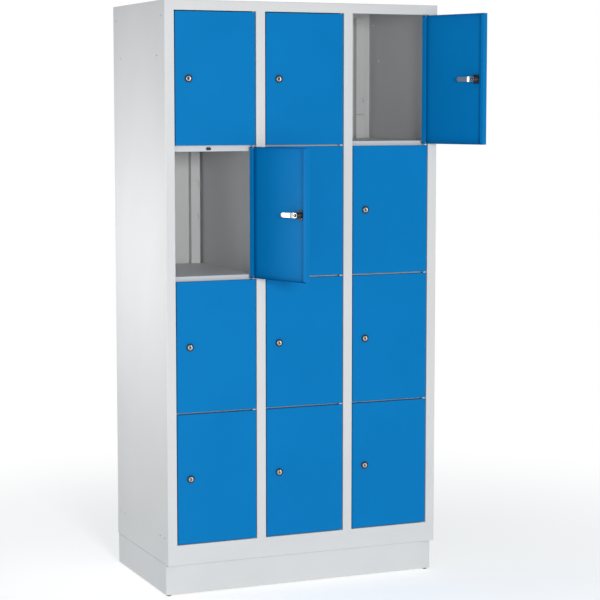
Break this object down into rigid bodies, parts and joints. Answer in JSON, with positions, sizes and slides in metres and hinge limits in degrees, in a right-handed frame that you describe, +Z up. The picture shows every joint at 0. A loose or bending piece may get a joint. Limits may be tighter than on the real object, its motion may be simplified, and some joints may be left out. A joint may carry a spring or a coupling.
{
  "type": "compartment locker",
  "caption": "Free-standing steel compartment locker with flush hinged doors, each with its own cylinder cam lock, on a recessed plinth.",
  "frame": {"origin": "on the floor, in the middle of the rectangle that the locker covers at rest, its two open doors included", "axes": "+Z up; +Y from the doors towards the back; +X to the right as seen from the front"},
  "size_m": [0.952, 0.7352, 1.8],
  "materials": {
    "carcass_grey": "light grey powder coat, fine orange peel, satin",
    "inner_grey": "light grey powder coat, satin",
    "door_blue": "blue powder coat, satin",
    "lock_black": "black coated zinc die casting",
    "lock_nickel": "nickel plated, lightly brushed",
    "foot_plastic": "moulded black plastic"
  },
  "bodies": {
    "carcass": {"left_side_panel": "carcass_grey", "right_side_panel": "carcass_grey", "partition_1": "inner_grey", "partition_2": "inner_grey", "back_panel": "inner_grey", "top_panel": "carcass_grey", "floor_panel": "carcass_grey", "shelf_r1c1": "inner_grey", "shelf_r1c2": "inner_grey", "shelf_r1c3": "inner_grey", "shelf_r2c1": "inner_grey", "shelf_r2c2": "inner_grey", "shelf_r2c3": "inner_grey", "shelf_r3c1": "inner_grey", "shelf_r3c2": "inner_grey", "shelf_r3c3": "inner_grey", "plinth_frame": "carcass_grey", "foot_front_left": "foot_plastic", "foot_front_right": "foot_plastic", "foot_rear_left": "foot_plastic", "foot_rear_right": "foot_plastic"},
    "door_r1c1": {"door_r1c1": "door_blue", "lock_body_r1c1": "lock_black"},
    "cam_r1c1": {"lock_cam_r1c1": "lock_nickel"},
    "door_r1c2": {"door_r1c2": "door_blue", "lock_body_r1c2": "lock_black"},
    "cam_r1c2": {"lock_cam_r1c2": "lock_nickel"},
    "door_r1c3": {"door_r1c3": "door_blue", "lock_body_r1c3": "lock_black"},
    "cam_r1c3": {"lock_cam_r1c3": "lock_nickel"},
    "door_r2c1": {"door_r2c1": "door_blue", "lock_body_r2c1": "lock_black"},
    "cam_r2c1": {"lock_cam_r2c1": "lock_nickel"},
    "door_r2c2": {"door_r2c2": "door_blue", "lock_body_r2c2": "lock_black"},
    "cam_r2c2": {"lock_cam_r2c2": "lock_nickel"},
    "door_r2c3": {"door_r2c3": "door_blue", "lock_body_r2c3": "lock_black"},
    "cam_r2c3": {"lock_cam_r2c3": "lock_nickel"},
    "door_r3c1": {"door_r3c1": "door_blue", "lock_body_r3c1": "lock_black"},
    "cam_r3c1": {"lock_cam_r3c1": "lock_nickel"},
    "door_r3c2": {"door_r3c2": "door_blue", "lock_body_r3c2": "lock_black"},
    "cam_r3c2": {"lock_cam_r3c2": "lock_nickel"},
    "door_r3c3": {"door_r3c3": "door_blue", "lock_body_r3c3": "lock_black"},
    "cam_r3c3": {"lock_cam_r3c3": "lock_nickel"},
    "door_r4c1": {"door_r4c1": "door_blue", "lock_body_r4c1": "lock_black"},
    "cam_r4c1": {"lock_cam_r4c1": "lock_nickel"},
    "door_r4c2": {"door_r4c2": "door_blue", "lock_body_r4c2": "lock_black"},
    "cam_r4c2": {"lock_cam_r4c2": "lock_nickel"},
    "door_r4c3": {"door_r4c3": "door_blue", "lock_body_r4c3": "lock_black"},
    "cam_r4c3": {"lock_cam_r4c3": "lock_nickel"}
  },
  "joints": [
    {"name": "door_hinge_r1c1", "type": "hinge", "parent": "carcass", "child": "door_r1c1", "pos_m": [-0.19402, -0.12793, 1.569], "axis": [0, 0, 1], "range_deg": [0, 114]},
    {"name": "lock_turn_r1c1", "type": "hinge", "parent": "door_r1c1", "child": "cam_r1c1", "pos_m": [-0.40252, -0.13242, 1.569], "axis": [0, 1, 0], "range_deg": [0, 180]},
    {"name": "door_hinge_r1c2", "type": "hinge", "parent": "carcass", "child": "door_r1c2", "pos_m": [0.09598, -0.12793, 1.569], "axis": [0, 0, 1], "range_deg": [0, 114]},
    {"name": "lock_turn_r1c2", "type": "hinge", "parent": "door_r1c2", "child": "cam_r1c2", "pos_m": [-0.11252, -0.13242, 1.569], "axis": [0, 1, 0], "range_deg": [0, 180]},
    {"name": "door_hinge_r1c3", "type": "hinge", "parent": "carcass", "child": "door_r1c3", "pos_m": [0.38598, -0.12793, 1.569], "axis": [0, 0, 1], "range_deg": [-110.3, 3.7]},
    {"name": "lock_turn_r1c3", "type": "hinge", "parent": "door_r1c3", "child": "cam_r1c3", "pos_m": [0.46254, -0.32191, 1.569], "axis": [-0.9379, -0.3469, 0], "range_deg": [0, 180]},
    {"name": "door_hinge_r2c1", "type": "hinge", "parent": "carcass", "child": "door_r2c1", "pos_m": [-0.19402, -0.12793, 1.167], "axis": [0, 0, 1], "range_deg": [-109, 5]},
    {"name": "lock_turn_r2c1", "type": "hinge", "parent": "door_r2c1", "child": "cam_r2c1", "pos_m": [-0.12188, -0.3236, 1.167], "axis": [-0.9455, -0.3256, 0], "range_deg": [0, 180]},
    {"name": "door_hinge_r2c2", "type": "hinge", "parent": "carcass", "child": "door_r2c2", "pos_m": [0.09598, -0.12793, 1.167], "axis": [0, 0, 1], "range_deg": [0, 114]},
    {"name": "lock_turn_r2c2", "type": "hinge", "parent": "door_r2c2", "child": "cam_r2c2", "pos_m": [-0.11252, -0.13242, 1.167], "axis": [0, 1, 0], "range_deg": [0, 180]},
    {"name": "door_hinge_r2c3", "type": "hinge", "parent": "carcass", "child": "door_r2c3", "pos_m": [0.38598, -0.12793, 1.167], "axis": [0, 0, 1], "range_deg": [0, 114]},
    {"name": "lock_turn_r2c3", "type": "hinge", "parent": "door_r2c3", "child": "cam_r2c3", "pos_m": [0.17748, -0.13242, 1.167], "axis": [0, 1, 0], "range_deg": [0, 180]},
    {"name": "door_hinge_r3c1", "type": "hinge", "parent": "carcass", "child": "door_r3c1", "pos_m": [-0.19402, -0.12793, 0.765], "axis": [0, 0, 1], "range_deg": [0, 114]},
    {"name": "lock_turn_r3c1", "type": "hinge", "parent": "door_r3c1", "child": "cam_r3c1", "pos_m": [-0.40252, -0.13242, 0.765], "axis": [0, 1, 0], "range_deg": [0, 180]},
    {"name": "door_hinge_r3c2", "type": "hinge", "parent": "carcass", "child": "door_r3c2", "pos_m": [0.09598, -0.12793, 0.765], "axis": [0, 0, 1], "range_deg": [0, 114]},
    {"name": "lock_turn_r3c2", "type": "hinge", "parent": "door_r3c2", "child": "cam_r3c2", "pos_m": [-0.11252, -0.13242, 0.765], "axis": [0, 1, 0], "range_deg": [0, 180]},
    {"name": "door_hinge_r3c3", "type": "hinge", "parent": "carcass", "child": "door_r3c3", "pos_m": [0.38598, -0.12793, 0.765], "axis": [0, 0, 1], "range_deg": [0, 114]},
    {"name": "lock_turn_r3c3", "type": "hinge", "parent": "door_r3c3", "child": "cam_r3c3", "pos_m": [0.17748, -0.13242, 0.765], "axis": [0, 1, 0], "range_deg": [0, 180]},
    {"name": "door_hinge_r4c1", "type": "hinge", "parent": "carcass", "child": "door_r4c1", "pos_m": [-0.19402, -0.12793, 0.363], "axis": [0, 0, 1], "range_deg": [0, 114]},
    {"name": "lock_turn_r4c1", "type": "hinge", "parent": "door_r4c1", "child": "cam_r4c1", "pos_m": [-0.40252, -0.13242, 0.363], "axis": [0, 1, 0], "range_deg": [0, 180]},
    {"name": "door_hinge_r4c2", "type": "hinge", "parent": "carcass", "child": "door_r4c2", "pos_m": [0.09598, -0.12793, 0.363], "axis": [0, 0, 1], "range_deg": [0, 114]},
    {"name": "lock_turn_r4c2", "type": "hinge", "parent": "door_r4c2", "child": "cam_r4c2", "pos_m": [-0.11252, -0.13242, 0.363], "axis": [0, 1, 0], "range_deg": [0, 180]},
    {"name": "door_hinge_r4c3", "type": "hinge", "parent": "carcass", "child": "door_r4c3", "pos_m": [0.38598, -0.12793, 0.363], "axis": [0, 0, 1], "range_deg": [0, 114]},
    {"name": "lock_turn_r4c3", "type": "hinge", "parent": "door_r4c3", "child": "cam_r4c3", "pos_m": [0.17748, -0.13242, 0.363], "axis": [0, 1, 0], "range_deg": [0, 180]}
  ]
}
